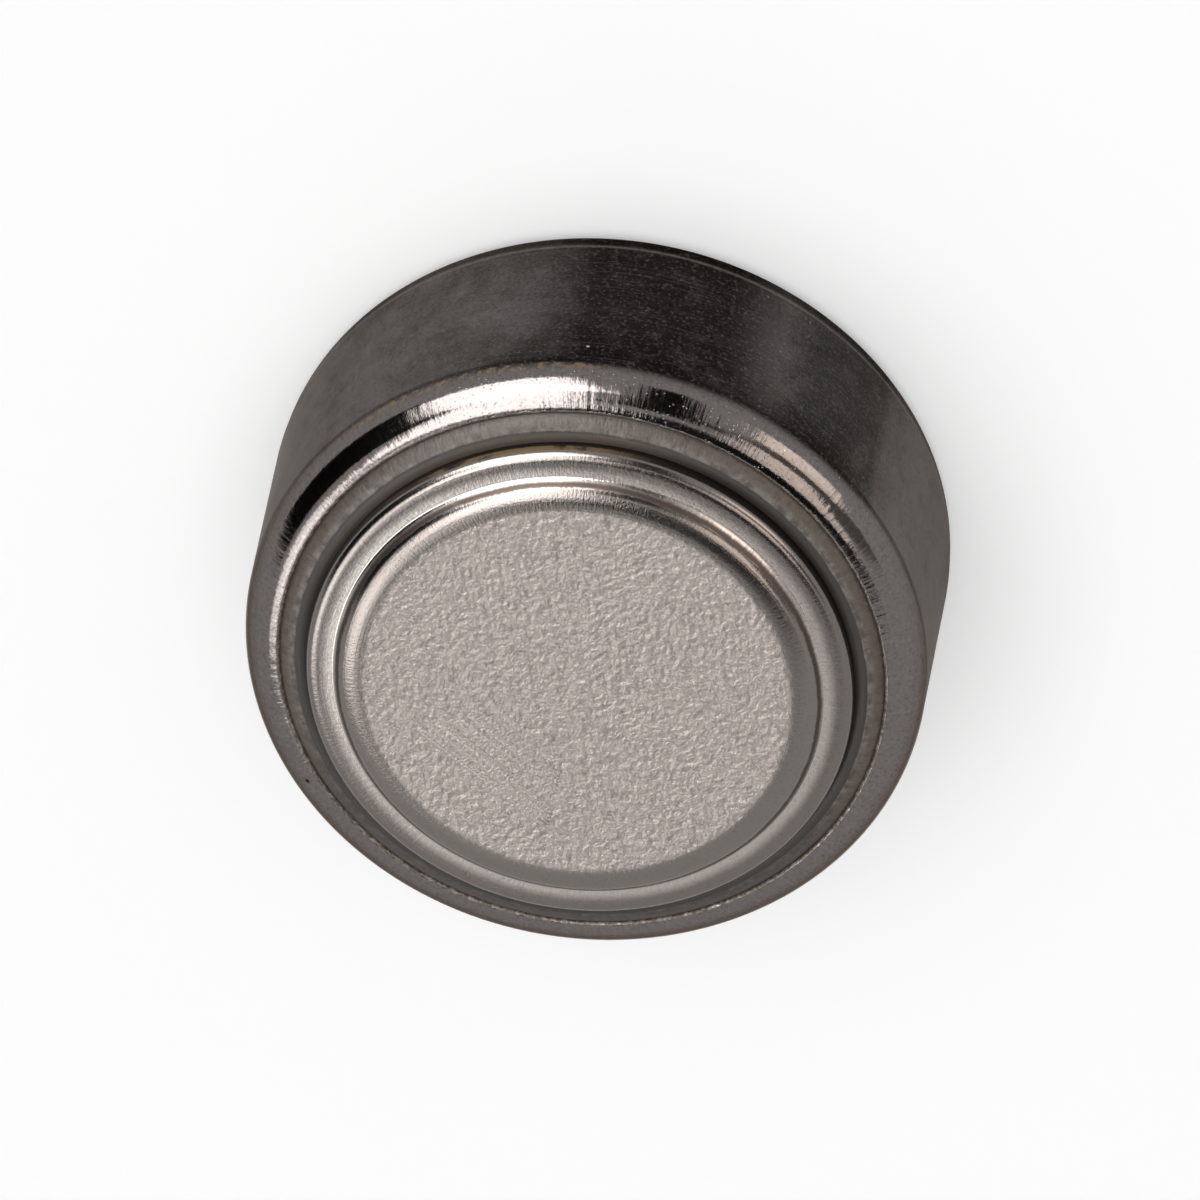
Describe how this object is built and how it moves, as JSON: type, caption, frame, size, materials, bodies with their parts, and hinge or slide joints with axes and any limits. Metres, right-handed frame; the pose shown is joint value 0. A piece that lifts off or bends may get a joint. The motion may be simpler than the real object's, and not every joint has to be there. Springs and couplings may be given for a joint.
{
  "type": "alkaline button cell",
  "caption": "Round alkaline button cell: plated steel can with a rolled lip, dark gasket and stepped negative cap standing proud.",
  "frame": {"origin": "centre of the flat positive face, where the cell rests", "axes": "+Z along the cell's axis, from the positive face to the negative contact disc"},
  "size_m": [0.0116, 0.0116, 0.0054],
  "materials": {
    "plated_can_steel": "nickel plated deep-drawn steel, finely scuffed round the wall, bright on the rolled lip",
    "plated_cap_steel": "nickel plated pressed steel, matte stippled contact disc with smooth bright edges",
    "gasket_nylon": "moulded nylon coated with dark sealant",
    "pressed_cathode": "pressed manganese dioxide and graphite powder",
    "cellulose_film": "thin regenerated cellulose film, wet",
    "separator_fibre": "unwoven fibre paper soaked with electrolyte",
    "zinc_gel": "zinc powder in gelled electrolyte"
  },
  "bodies": {
    "root": {"positive_can": "plated_can_steel", "negative_cap": "plated_cap_steel", "sealing_gasket": "gasket_nylon", "cathode_pellet": "pressed_cathode", "barrier_film": "cellulose_film", "separator_paper": "separator_fibre", "anode_gel": "zinc_gel"}
  },
  "joints": []
}
